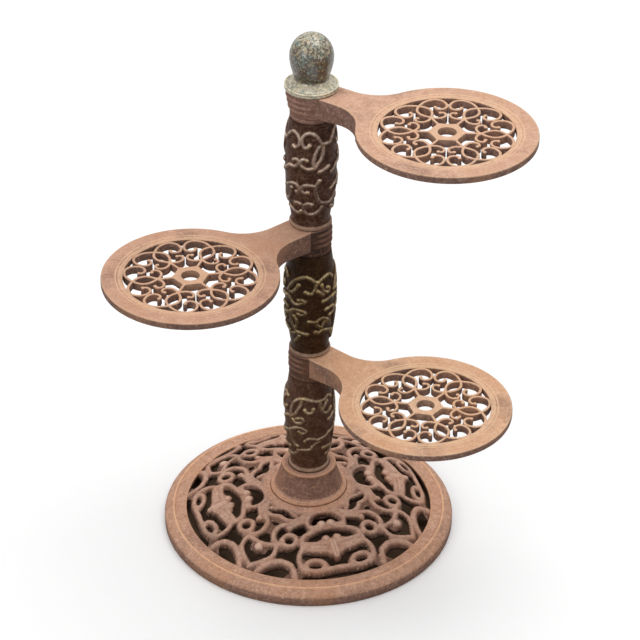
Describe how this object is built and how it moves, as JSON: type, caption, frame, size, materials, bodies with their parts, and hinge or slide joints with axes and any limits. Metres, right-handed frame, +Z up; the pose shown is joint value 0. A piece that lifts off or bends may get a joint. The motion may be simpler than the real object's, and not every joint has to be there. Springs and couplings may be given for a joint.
{
  "type": "tiered plant stand",
  "caption": "Cast-iron plant stand: round pierced shelves swivel on a post of carved barrel columns with a ball finial, over a domed scrollwork base.",
  "frame": {"origin": "on the floor, at the middle of the base, on the axis of the tie rod", "axes": "+Z up along the post, -Y towards the side that the lower and middle shelves point to, +X to the right of that side's viewer"},
  "size_m": [0.408, 0.3342, 0.5648],
  "materials": {
    "base_iron": "rusted, rough",
    "foot_iron": "rusted, with worn edges",
    "barrel_iron": "dark, with worn gilding on the raised carving",
    "shelf_iron": "rusted, worn to tan on top",
    "finial_iron": "pale verdigris over brown",
    "fixings": "plain"
  },
  "bodies": {
    "post": {"base_plate": "base_iron", "column_foot": "foot_iron", "lower_barrel": "barrel_iron", "middle_barrel": "barrel_iron", "upper_barrel": "barrel_iron", "finial": "finial_iron", "tie_rod": "fixings", "base_washer": "fixings", "base_nut": "fixings"},
    "lower_shelf": {"lower_arm": "shelf_iron"},
    "middle_shelf": {"middle_arm": "shelf_iron"},
    "upper_shelf": {"upper_arm": "shelf_iron"}
  },
  "joints": [
    {"name": "lower_arm_swivel", "type": "hinge", "parent": "post", "child": "lower_shelf", "pos_m": [0, 0, 0.1971], "axis": [0, 0, 1], "continuous": true},
    {"name": "middle_arm_swivel", "type": "hinge", "parent": "post", "child": "middle_shelf", "pos_m": [0, 0, 0.3452], "axis": [0, 0, 1], "continuous": true},
    {"name": "upper_arm_swivel", "type": "hinge", "parent": "post", "child": "upper_shelf", "pos_m": [0, 0, 0.4933], "axis": [0, 0, 1], "continuous": true}
  ]
}
